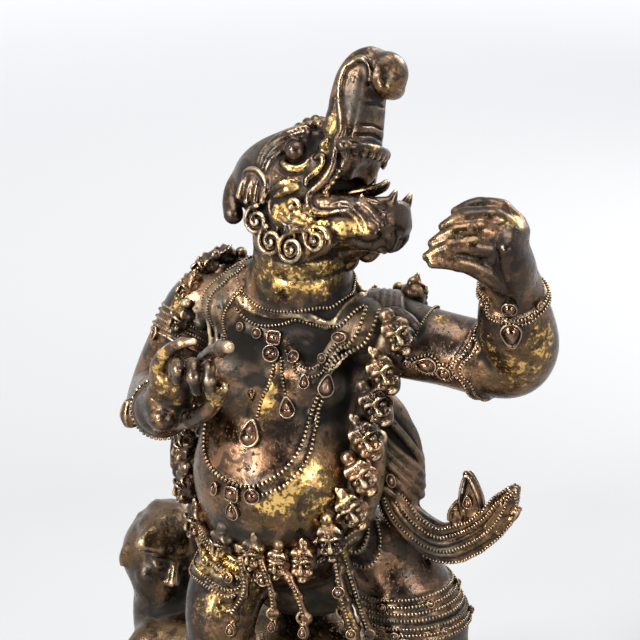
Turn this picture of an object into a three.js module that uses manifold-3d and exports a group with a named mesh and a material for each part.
// A makara-headed guardian deity in gilt bronze, about 30 cm high. It strides with its head thrown
// back over a crouching attendant, wears a garland of severed heads, and stands on an oval lotus base.
// Millimetres, +Z up, origin in the middle of the base's underside. The deity's chest faces -Y, and
// its own left hand is towards +X.
import * as THREE from "three";
import { mergeVertices } from "three/addons/utils/BufferGeometryUtils.js";
import Module from "manifold-3d";

const wasm = await Module();
wasm.setup();

// Driving dimensions
const BASE_HEIGHT = 30;
const BASE_HALF_LENGTH = 95;
const BASE_HALF_WIDTH = 54;
const BASE_PETALS = 15;
const STANDING_GAP = 0.3;
const FLOOR = BASE_HEIGHT + STANDING_GAP;

// The skull's middle, and how far the face turns from -Y to the deity's left and leans over, in degrees
const SKULL = [-3, 0, 251];
const HEAD_TURN = 80;
const HEAD_LEAN = 18;

// Joints of the limbs
const LEFT_SHOULDER = [29, 4, 202];
const LEFT_ELBOW = [75, 8, 196];
const LEFT_WRIST = [78, -8, 227];
const RIGHT_SHOULDER = [-38, 4, 202];
const RIGHT_ELBOW = [-52.5, -5, 168];
const RIGHT_WRIST = [-33, -36, 176];
const LEFT_KNEE = [43, 3, 99];
const LEFT_ANKLE = [60, 7, 44];
const RIGHT_KNEE = [-14, -31, 112];
const RIGHT_ANKLE = [-20, -29, 43];

// Ornament
const GARLAND_HEADS = 30;
const SMALL_HEAD = 6;
const CORD = 1.1;

// Shapes: every helper returns one closed geometry.

// A rounded form through a row of stations [x, y, z, half width, half depth]. The half width lies along
// `across`, and the ends are domed by `dome` times the smaller half. A `power` of 2 gives an oval section,
// and a higher one a squarer section.
function limb(stations, { sides = 8, across = [1, 0, 0], dome = 0.8, power = 2 } = {}) {
  const centres = stations.map(([x, y, z]) => new THREE.Vector3(x, y, z));
  const wide = new THREE.Vector3(...across);
  const points = [];
  const ring = (centre, tangent, a, b) => {
    const u = wide.clone().addScaledVector(tangent, -wide.dot(tangent)).normalize();
    const v = new THREE.Vector3().crossVectors(tangent, u);
    for (let i = 0; i < sides; i++) {
      const [c, s] = [Math.cos((2 * Math.PI * i) / sides), Math.sin((2 * Math.PI * i) / sides)];
      const reach = (Math.abs(c) ** power + Math.abs(s) ** power) ** (-1 / power);
      points.push(centre.clone().addScaledVector(u, a * c * reach).addScaledVector(v, b * s * reach));
    }
  };
  const tangentAt = (i) => {
    const before = centres[Math.max(i - 1, 0)];
    const after = centres[Math.min(i + 1, centres.length - 1)];
    return after.clone().sub(before).normalize();
  };
  const poles = [];
  const domeAt = (i, sign) => {
    const [, , , a, b = a] = stations[i];
    const reach = sign * dome * Math.min(a, b);
    const along = (share) => centres[i].clone().addScaledVector(tangentAt(i), reach * share);
    if (dome) ring(along(0.6), tangentAt(i), a * 0.72, b * 0.72);
    poles.push(along(1));
  };
  domeAt(0, -1);
  stations.forEach(([, , , a, b = a], i) => ring(centres[i], tangentAt(i), a, b));
  domeAt(stations.length - 1, 1);
  return skin(points, sides, poles);
}

// The closed surface over rows of `sides` points, with a pole below the first row and one above the last
function skin(points, sides, [below, above]) {
  const rows = points.length / sides;
  const faces = [];
  for (let r = 0; r + 1 < rows; r++)
    for (let i = 0; i < sides; i++) {
      const a = r * sides + i;
      const b = r * sides + ((i + 1) % sides);
      faces.push(a, b, b + sides, a, b + sides, a + sides);
    }
  const last = (rows - 1) * sides;
  for (let i = 0; i < sides; i++) {
    const next = (i + 1) % sides;
    faces.push(rows * sides, next, i, rows * sides + 1, last + i, last + next);
  }
  return new THREE.BufferGeometry().setFromPoints([...points, below, above]).setIndex(faces);
}

function ball(centre, radii, across = 6, around = 4) {
  const round = new THREE.SphereGeometry(1, across, around).rotateX(Math.PI / 2);
  return round.scale(...radii).translate(...centre);
}

function cord(points, radius = CORD, sides = 4) {
  return limb(points.map((p) => [...p, radius]), { sides, across: [0.31, 0.52, 0.8], dome: 0 });
}

function finger(points, radius) {
  const stations = points.map((p, i) => [...p, radius * (i === points.length - 1 ? 0.6 : 1)]);
  return limb(stations, { sides: 4, dome: 0 });
}

// Stations for a ridge that runs round a limb, such as an armlet, between two fractions of the way from
// one joint to the next
function ridge(from, to, radius, height, start, end) {
  const at = (t) => from.map((c, i) => c + (to[i] - c) * t);
  return [[...at(start), radius], [...at((start + end) / 2), radius + height], [...at(end), radius]];
}

function solid(geometry) {
  const bare = geometry.clone();
  bare.deleteAttribute("normal");
  bare.deleteAttribute("uv");
  const merged = mergeVertices(bare, 1e-4);
  const mesh = new wasm.Mesh({
    numProp: 3,
    vertProperties: new Float32Array(merged.attributes.position.array),
    triVerts: new Uint32Array(merged.index.array),
  });
  return new wasm.Manifold(mesh);
}

function join(shapes) {
  return shapes.map(solid).reduce((whole, next) => whole.add(next));
}

function geometryOf(made) {
  const { numProp, vertProperties, triVerts } = made.getMesh();
  const points = new Float32Array((vertProperties.length / numProp) * 3);
  for (let i = 0; i < points.length / 3; i++)
    points.set(vertProperties.subarray(i * numProp, i * numProp + 3), i * 3);
  const geometry = new THREE.BufferGeometry();
  geometry.setAttribute("position", new THREE.BufferAttribute(points, 3));
  geometry.setIndex(new THREE.BufferAttribute(triVerts, 1));
  geometry.computeVertexNormals();
  return geometry;
}

// The head is shaped in a frame of its own: x forwards along the jaws, y to its left, z up, origin in the
// skull.
const turn = THREE.MathUtils.degToRad(HEAD_TURN);
const IN_HEAD = new THREE.Matrix4()
  .makeBasis(
    new THREE.Vector3(Math.sin(turn), -Math.cos(turn), 0),
    new THREE.Vector3(Math.cos(turn), Math.sin(turn), 0),
    new THREE.Vector3(0, 0, 1),
  )
  .multiply(new THREE.Matrix4().makeRotationX(-THREE.MathUtils.degToRad(HEAD_LEAN)))
  .setPosition(...SKULL);

// One side of the head: lips, eye, brow, ear, nostril, fangs, and the scalloped row of curled locks under
// the jaw
function halfHead(side) {
  const across = [0, 1, 0];
  const lip = [[23.5, -11.5, 19], [22, -13, 3], [20, -13, -6], [44.5, -6, -4.2]];
  const locks = [[-8, -12, 3.6], [-1, -15, 5.4], [3, -17, 3], [9, -18, 5.4], [14, -18.5, 3], [21, -17, 5.2]];
  return [
    cord(lip.map(([x, y, z]) => [x, -side * y, z]), 1.4),
    ball([9.5, side * 13.2, 9.5], [3.9, 3.4, 3.9]),
    cord([[-2, side * 15, 6], [4, side * 13.5, 13.5], [13, side * 8, 14]], 2.4),
    limb([[1, side * 16, 2, 2.4, 2], [-4, side * 18.5, -3, 5, 3], [-8, side * 17, -13, 3.4, 3]], {
      sides: 4,
      dome: 0,
    }),
    ball([18, side * 10, 7], [2.8, 2.8, 2.8], 5, 3),
    limb([[43, side * 5.5, -6, 2], [44.5, side * 5, 1, 0.6]], { sides: 3, across, dome: 0 }),
    limb([[27.5, side * 10.6, 15, 2.2], [31, side * 10.4, 10, 0.6]], { sides: 3, across, dome: 0 }),
    limb(locks.map(([x, z, r]) => [x, side * 12, z, 4, r]), { sides: 4, across, dome: 0 }),
  ];
}

function head() {
  const across = [0, 1, 0];
  const middle = [
    ball([2, 0, 0], [19, 18, 17.5], 8, 6),
    limb([[-6, 0, 13, 12, 5], [-14, 0, 3, 15, 6], [-13, 0, -14, 13, 5.4]], { sides: 6, across, dome: 0.6 }),
    limb(
      [
        [13, 0, 4, 13.4, 9],
        [20, 0, 16, 10.4, 6.4],
        [19.6, 0, 29, 8.4, 6],
        [20.6, 0, 37, 7.2, 5.8],
        [24, 0, 41.5, 6.4, 4.8],
        [29, 0, 42, 6.2, 4.2],
        [32, 0, 38, 6.2, 4.4],
      ],
      { across, dome: 0.9, power: 3.4 },
    ),
    limb([[16, 0, 0, 9, 4], [25, 0, 7, 10, 4], [27.5, 0, 15, 11, 2.6]], { sides: 6, across, dome: 0 }),
    limb([[6, 0, -8, 15, 9], [18, 0, -12.5, 13, 6.5], [30, 0, -11.5, 10.5, 5.2], [41, 0, -8.5, 8, 5.4]], {
      sides: 7,
      across,
    }),
    limb([[41, 0, -10, 4, 3], [45, 0, -14, 1.4, 1.4]], { sides: 4, across, dome: 0 }),
    limb([[18, 0, -5, 5, 1.8], [29, 0, -3, 5, 1.6], [39, 0, 4, 2, 1]], { sides: 6, across, dome: 0 }),
    cord([[27, -11, 13], [29.8, -5, 13.8], [29.8, 5, 13.8], [27, 11, 13]], 1.6),
  ];
  return [...middle, ...halfHead(-1), ...halfHead(1)].map((shape) => shape.applyMatrix4(IN_HEAD));
}

// The trunk of the body, from the seat up to the inside of the head
function torso() {
  return [
    limb(
      [
        [1, 2, 101, 12, 10],
        [0, 2, 107, 21, 15],
        [0, 1, 115, 26, 19],
        [-0.5, -1, 124, 27, 21],
        [-1.5, -5, 131, 28, 24],
        [-2.5, -8, 138, 26.5, 25],
        [-3, -9.5, 150, 27, 26.5],
        [-3.5, -8.5, 160, 26.5, 25.5],
        [-4, -6, 168, 26.5, 22.5],
        [-4.5, -2, 176, 28, 19],
        [-5, 0, 186, 30, 18],
        [-4.5, 2, 197, 29, 17],
        [-3, 4, 205, 28, 17],
        [-1, 3.5, 211, 21, 17],
        [0.5, 1, 222, 16, 16],
        [1, 0, 236, 15.5, 15.5],
      ],
      { sides: 12, dome: 0 },
    ),
    ball([9, -12, 186], [12, 9, 10], 7, 4),
    ball([-18, -11, 185], [12, 9, 10], 7, 4),
  ];
}

function leftArm() {
  return [
    limb(
      [
        [20, 4, 202, 12],
        [...LEFT_SHOULDER, 14],
        [46, 5, 199, 12.6],
        ...ridge(LEFT_SHOULDER, LEFT_ELBOW, 12.2, 1.6, 0.56, 0.66),
        [76, 8, 197, 11],
        [77, 3, 206, 11.8],
        ...ridge(LEFT_ELBOW, LEFT_WRIST, 11.6, 1.4, 0.46, 0.58),
        ...ridge(LEFT_ELBOW, LEFT_WRIST, 9.8, 1.5, 0.86, 0.98),
      ],
      { sides: 7, across: [0, 0.93, 0.37] },
    ),
    limb([[...LEFT_WRIST, 9, 7.4], [80.5, -15, 238, 9.2, 6.4], [80, -20, 247, 9, 4.8]], {
      across: [0.3, -1, -0.2],
      dome: 0.6,
    }),
    finger([[80, -13, 250], [73, -17, 254.5], [64, -22, 253.5]], 3.4),
    finger([[80, -17, 249.5], [71, -22, 253.5], [62, -25, 250.5]], 3.4),
    finger([[78, -21, 247.5], [69, -26, 250], [60, -28, 246.5]], 3.4),
    finger([[76, -24, 244.5], [68, -29, 245], [59, -31, 243]], 3.4),
    finger([[78, -22, 235], [70, -28, 239.5], [61, -32, 240]], 3.2),
    ball([76.5, -11, 208], [4, 2.6, 5.6]),
    ball([49, -7, 194], [3.8, 2.6, 3.8]),
    ball([58, -5, 191.5], [3.4, 2.6, 3.4]),
  ];
}

function rightArm() {
  return [
    limb(
      [
        [-28, 4, 204, 11],
        [...RIGHT_SHOULDER, 13.5],
        ...ridge(RIGHT_SHOULDER, RIGHT_ELBOW, 12.4, 1.8, 0.3, 0.42),
        ...ridge(RIGHT_SHOULDER, RIGHT_ELBOW, 12.2, 1.8, 0.52, 0.64),
        [-52.5, -6, 168, 12.6],
        [-45, -19, 170, 12.4],
        ...ridge(RIGHT_ELBOW, RIGHT_WRIST, 11.4, 1.8, 0.64, 0.82),
        [...RIGHT_WRIST, 9.6],
      ],
      { sides: 7, across: [-0.74, -0.4, 0.48] },
    ),
    limb([[...RIGHT_WRIST, 9, 7], [-27, -41, 182, 9, 6.4], [-23, -45, 190, 8.5, 5]], {
      across: [1, 0.5, 0],
      dome: 0.6,
    }),
    finger([[-30, -44, 189], [-30, -49, 197], [-24, -52, 204], [-11, -53, 209]], 3.4),
    finger([[-25, -46, 192], [-21, -53, 199], [-18, -57, 194], [-20, -54, 187]], 3.4),
    finger([[-19, -46, 191], [-12, -54, 199], [-11, -58, 194], [-14, -55, 186]], 3.4),
    finger([[-16, -45, 187], [-5, -51, 197], [3, -60, 208], [7, -67, 214]], 3.2),
    finger([[-27, -40, 180], [-14, -51, 182], [-7, -54, 187], [-3, -54, 194]], 3.4),
    ball([-59, -15, 165], [4, 4, 5]),
  ];
}

function foot([x, y], [toesX, toesY], width) {
  const [forwardX, forwardY] = [toesX - x, toesY - y];
  return limb(
    [
      [x - forwardX * 0.3, y - forwardY * 0.3, FLOOR + 5.8, width * 0.75, 5.8],
      [x + forwardX * 0.2, y + forwardY * 0.2, FLOOR + 6.6, width * 0.85, 6.6],
      [toesX, toesY, FLOOR + 3.8, width, 3.8],
    ],
    { across: [-forwardY, forwardX, 0], dome: 0.6 },
  );
}

function legs() {
  const leftCalf = [51, 5, 77];
  const rightCalf = [-17, -30, 74];
  return [
    limb(
      [
        [12, 3, 124, 14],
        [24, 4, 121, 16],
        [34, 4, 114, 15.4],
        ...ridge(LEFT_KNEE, leftCalf, 14.2, 1.6, -0.3, -0.12),
        ...ridge(LEFT_KNEE, leftCalf, 14, 1.8, 0, 0.2),
        ...ridge(LEFT_KNEE, leftCalf, 12.4, 1.8, 0.36, 0.52),
        [...leftCalf, 11.4],
        ...ridge(leftCalf, LEFT_ANKLE, 8, 1.6, 0.8, 0.94),
        [62, 7, 36, 7],
      ],
      { across: [0, 1, 0], dome: 0 },
    ),
    limb(
      [
        [-10, 2, 123, 14],
        [-12, -14, 120, 14.6],
        [-14, -28, 115, 13],
        [-14, -33, 105, 12],
        ...ridge(RIGHT_KNEE, rightCalf, 10.8, 2, 0.34, 0.46),
        ...ridge(RIGHT_KNEE, rightCalf, 10.6, 2, 0.52, 0.64),
        [...rightCalf, 10.8],
        ...ridge(rightCalf, RIGHT_ANKLE, 8, 1.6, 0.8, 0.94),
        [-20.5, -29, 36, 7],
      ],
      { dome: 0 },
    ),
    foot(LEFT_ANKLE, [75, -7], 7.5),
    foot(RIGHT_ANKLE, [-28, -46], 7.5),
  ];
}

// The garland's line: down from the left shoulder, under the belly, up the right side and round behind
// the neck
const GARLAND = [
  [40, -9, 206],
  [36.5, -14, 186],
  [33, -13.5, 160],
  [25.5, -19.5, 141],
  [12.5, -29, 129],
  [-5, -32, 130],
  [-23, -26.5, 134],
  [-34, -13, 143],
  [-39, -6, 162],
  [-42, -10, 188],
  [-47, -6, 202],
  [-38, 8, 213],
  [-20, 17, 211],
  [10, 18, 203],
  [31, 12, 203],
];

function garland() {
  const line = new THREE.CatmullRomCurve3(GARLAND.map((p) => new THREE.Vector3(...p)), true);
  // A head in outline, from the chin up to its knot of hair
  const outline = [[0, -1.15], [0.88, -0.45], [0.92, 0.45], [0.34, 1.15], [0, 1.5]];
  const profile = outline.map(([r, z]) => new THREE.Vector2(r * SMALL_HEAD, z * SMALL_HEAD));
  const upright = new THREE.Vector3(0, 0, 1);
  return Array.from({ length: GARLAND_HEADS }, (_, i) => {
    const at = line.getPointAt((i + 0.35) / GARLAND_HEADS);
    const outward = new THREE.Vector3(at.x + 4, at.y * 1.3 - 2, 0).normalize();
    const place = new THREE.Matrix4().makeBasis(upright.clone().cross(outward), upright, outward);
    place.setPosition(at.addScaledVector(outward, 1));
    // The lathe turns about its own y, which stands upright here.
    return new THREE.LatheGeometry(profile, 5).applyMatrix4(place);
  });
}

function jewellery() {
  const collar = [
    [-18, 1, 217],
    [-14, -11, 211],
    [0, -17, 206.5],
    [12, -17.5, 206.5],
    [23, -9, 210],
    [23, 3, 216],
  ];
  const longChain = [
    [26, -8, 209],
    [24, -21, 197],
    [20, -26, 184],
    [17, -33, 173],
    [7, -36.5, 161],
    [-5, -36.5, 155],
    [-17, -32, 158],
    [-23, -25, 169],
    [-26, -18, 184],
    [-22, -9, 204],
  ];
  const drop = (from, to, size) => [
    cord([from, to]),
    ball([to[0], to[1] - 0.6, to[2] - size * 0.8], [size * 0.75, size * 0.6, size], 6, 3),
  ];
  return [
    cord(collar, 2.4),
    cord([[-16, -15, 205], [-1, -19, 203], [7, -20, 199], [15, -20.5, 195], [22, -18, 202], [27, -11, 209]], 1.6),
    cord(longChain, 2.2),
    ball([21, -26.5, 188], [2.6, 2, 3.4], 5, 3),
    ball([-3, -20, 199], [3.4, 3.4, 3.4], 5, 3),
    ...drop([-2, -20, 198], [0, -31, 180], 4),
    ...drop([12, -19, 195], [9, -27.5, 187], 2.8),
    ball([-5, -37.5, 152], [6, 2.6, 4.4], 6, 3),
  ];
}

// Strands of the bone apron that hang from the belt
function apron() {
  return [
    cord([[21, -16, 132], [27, -24, 118], [32, -24, 104], [35, -23, 90], [37, -22, 78]], 2.6),
    cord([[23, -16, 130], [31, -22, 117], [35, -22, 106]], 1.8),
    cord([[9, -34, 130], [15, -34, 121], [18, -34, 113]], 1.8),
    cord([[3, -36, 130], [7, -36, 121], [8, -36, 114]], 1.7),
    cord([[-4, -37, 130], [-1, -38, 120], [-6, -39, 111]], 2),
    cord([[18, -18, 134], [4, -29, 122], [-8, -33, 121], [-20, -27, 127]], 1.6),
  ];
}

// The scarf: a bunched loop behind the left hip whose end sweeps up and out in three tips
function scarf() {
  const ribbon = { sides: 6, across: [0.5, 1, 0.2], dome: 0.5 };
  const tip = { sides: 4, dome: 0 };
  return [
    limb([[27, 9, 176, 5, 4], [32, 10, 170, 7, 5], [35.5, 10, 156, 7, 5], [33, 7, 143, 6, 5]], ribbon),
    limb(
      [
        [31, 4, 152, 4, 4],
        [36, 3, 141, 5, 5.5],
        [43, 4, 132, 5, 6.5],
        [52, 5, 129, 5, 6.8],
        [63, 4, 135, 5, 6.5],
        [72, 2, 144, 4, 5],
        [77, 1, 155, 1.6, 1.6],
      ],
      ribbon,
    ),
    limb([[58, 4, 137, 4, 4], [59, 4, 146, 4, 4.4], [60.5, 4, 156, 1.2, 1.2]], tip),
    limb([[66, 3, 138, 4, 3.4], [75, 2, 143, 3.4, 3], [79, 2, 147, 1.2, 1.2]], tip),
    limb([[-33, 4, 176, 4, 3], [-40, 2, 166, 5, 4.4], [-43, 0, 152, 5, 4.4], [-37, -3, 141, 4, 4]], ribbon),
  ];
}

function deity() {
  return join([
    ...torso(),
    ...head(),
    ...leftArm(),
    ...rightArm(),
    ...legs(),
    ...garland(),
    ...jewellery(),
    ...apron(),
    ...scarf(),
  ]);
}

// The attendant kneels along the base under the deity, rump high, forearms down, head raised and turned
// outwards.
function attendant() {
  const middle = 8;
  const faceTurn = new THREE.Matrix4().makeRotationZ(THREE.MathUtils.degToRad(48));
  faceTurn.multiply(new THREE.Matrix4().makeRotationY(THREE.MathUtils.degToRad(16))).setPosition(-66, 17, 97);
  const face = [
    ball([0, 0, 1], [15.4, 16.4, 17.8], 8, 6),
    ball([2, -9, -9], [9, 8, 9], 5, 3),
    ball([0, -16, -1], [3, 3.4, 4.4], 4, 3),
    cord([[-11, -12, 5], [-4, -15.5, 5.5], [4, -15.5, 5.5], [11, -12, 5]], 2.4, 3),
  ].map((shape) => shape.applyMatrix4(faceTurn));
  const limbs = (side) => [
    limb(
      [
        [-60, middle + side * 12, 70, 9],
        [-68, middle + side * 23, 54, 7.6],
        [-72, middle + side * 26, 41, 7.4],
        [-78, middle + side * 20, 37.4, 6.2],
        [-85, middle + side * 8, 35.6, 5, 4.4],
      ],
      { across: [1, 0.3, 0], sides: 6, dome: 0.5 },
    ),
    limb(
      [
        [10, middle + side * 9, 66, 14, 13],
        [-6, middle + side * 12, 54, 12.4, 12],
        [-20, middle + side * 12, 43.5, 10.4],
      ],
      { sides: 7 },
    ),
    limb(
      [
        [-18, middle + side * 13, 41, 9.6],
        [4, middle + side * 13, 39.6, 8.6],
        [30, middle + side * 12, 36, 6, 5],
      ],
      { across: [0, 1, 0], sides: 6 },
    ),
  ];
  const back = limb(
    [
      [18, middle, 69, 14, 14],
      [6, middle, 73, 20, 20],
      [-10, middle, 75, 19, 18.6],
      [-34, middle, 69, 18.6, 16.6],
      [-52, middle + 1, 68, 18.6, 14.6],
      [-62, middle + 4, 75, 12, 12],
      [-66, middle + 8, 90, 9.4, 9.4],
    ],
    { sides: 10, across: [0, 1, 0] },
  );
  return join([back, ...face, ...limbs(-1), ...limbs(1)]);
}

// An oval lotus: two rows of petals, back to back, between a plain foot and a rim
function lotusBase() {
  const samplesPerPetal = 3;
  const around = BASE_PETALS * samplesPerPetal;
  // [height, inset from the full outline, how far each petal swells beyond it]
  const profile = [
    [0, 0, 0],
    [4, 0, 0],
    [9, 1.5, 3],
    [15.5, 8.5, 0],
    [22, 3, 3],
    [26, 6, 0],
    [BASE_HEIGHT, 6.5, 0],
  ];
  const points = profile.flatMap(([height, inset, swell]) =>
    Array.from({ length: around }, (_, i) => {
      const angle = (2 * Math.PI * i) / around;
      const out = swell * Math.abs(Math.sin((i * Math.PI) / samplesPerPetal)) - inset;
      const [long, wide] = [BASE_HALF_LENGTH + out, BASE_HALF_WIDTH + out];
      return new THREE.Vector3(long * Math.cos(angle), wide * Math.sin(angle), height);
    }),
  );
  return solid(skin(points, around, [new THREE.Vector3(0, 0, 0), new THREE.Vector3(0, 0, BASE_HEIGHT)]));
}

function bronze(name, color, roughness) {
  return new THREE.MeshStandardMaterial({ name, color, roughness, metalness: 1 });
}

const giltBronze = bronze("gilt_bronze", 0x8a6a3a, 0.38);
const darkBronze = bronze("dark_bronze", 0x5a4636, 0.45);
const lotusBronze = bronze("lotus_bronze", 0x6f5532, 0.42);

function piece(name, made, material) {
  const mesh = new THREE.Mesh(geometryOf(made), material);
  mesh.name = name;
  return mesh;
}

const statue = new THREE.Group();
statue.add(
  piece("deity_figure", deity(), giltBronze),
  piece("crouching_attendant", attendant(), darkBronze),
  piece("lotus_base", lotusBase(), lotusBronze),
);

export default statue;
